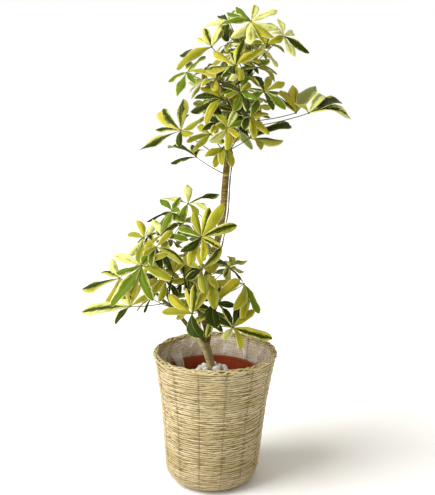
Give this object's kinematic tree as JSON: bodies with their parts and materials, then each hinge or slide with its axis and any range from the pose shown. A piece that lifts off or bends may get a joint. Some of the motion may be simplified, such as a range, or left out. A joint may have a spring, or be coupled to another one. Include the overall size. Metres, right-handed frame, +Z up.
{
  "type": "potted umbrella plant",
  "caption": "Variegated umbrella plant with palmate leaves on a tall bare stem and low side shoots, in a plastic grow pot with pebbles, film and a woven straw basket",
  "frame": {"origin": "centre of the basket's flat base, on the surface that it stands on", "axes": "+Z up; -Y to the side that the low shoots' leaves face; +X to the right of it, the way the basket's rim leans"},
  "size_m": [0.632, 0.432, 1.154],
  "materials": {
    "straw_weave": "matt woven straw",
    "clear_film": "crinkled clear film",
    "terracotta_plastic": "satin",
    "potting_soil": "rough, dark brown",
    "white_pebble": "tumbled",
    "bark": "matt bark",
    "green_stem": "satin green stem",
    "variegated_leaf": "glossy leaf, yellow and green"
  },
  "bodies": {
    "root": {"basket": "straw_weave", "liner_film": "clear_film", "grow_pot": "terracotta_plastic", "soil": "potting_soil", "pebbles": "white_pebble", "trunk": "bark", "left_shoot": "green_stem", "right_shoot": "green_stem", "front_shoot": "green_stem", "upper_leaf_01": "variegated_leaf", "upper_leaf_02": "variegated_leaf", "upper_leaf_03": "variegated_leaf", "upper_leaf_04": "variegated_leaf", "upper_leaf_05": "variegated_leaf", "upper_leaf_06": "variegated_leaf", "upper_leaf_07": "variegated_leaf", "upper_leaf_08": "variegated_leaf", "upper_leaf_09": "variegated_leaf", "upper_leaf_10": "variegated_leaf", "upper_leaf_11": "variegated_leaf", "upper_leaf_12": "variegated_leaf", "upper_leaf_13": "variegated_leaf", "upper_leaf_14": "variegated_leaf", "upper_leaf_15": "variegated_leaf", "upper_leaf_16": "variegated_leaf", "upper_leaf_17": "variegated_leaf", "upper_leaf_18": "variegated_leaf", "upper_leaf_19": "variegated_leaf", "upper_leaf_20": "variegated_leaf", "upper_leaf_21": "variegated_leaf", "upper_leaf_22": "variegated_leaf", "upper_leaf_23": "variegated_leaf", "lower_leaf_01": "variegated_leaf", "lower_leaf_02": "variegated_leaf", "lower_leaf_03": "variegated_leaf", "lower_leaf_04": "variegated_leaf", "lower_leaf_05": "variegated_leaf", "lower_leaf_06": "variegated_leaf", "lower_leaf_07": "variegated_leaf", "lower_leaf_08": "variegated_leaf", "lower_leaf_09": "variegated_leaf", "lower_leaf_10": "variegated_leaf", "lower_leaf_11": "variegated_leaf", "lower_leaf_12": "variegated_leaf", "lower_leaf_13": "variegated_leaf", "lower_leaf_14": "variegated_leaf", "lower_leaf_15": "variegated_leaf", "lower_leaf_16": "variegated_leaf", "lower_leaf_17": "variegated_leaf", "back_leaf_01": "variegated_leaf", "back_leaf_02": "variegated_leaf", "back_leaf_03": "variegated_leaf", "back_leaf_04": "variegated_leaf", "back_leaf_05": "variegated_leaf", "back_leaf_06": "variegated_leaf", "back_leaf_07": "variegated_leaf", "back_leaf_08": "variegated_leaf", "back_leaf_09": "variegated_leaf", "back_leaf_10": "variegated_leaf"}
  },
  "joints": []
}
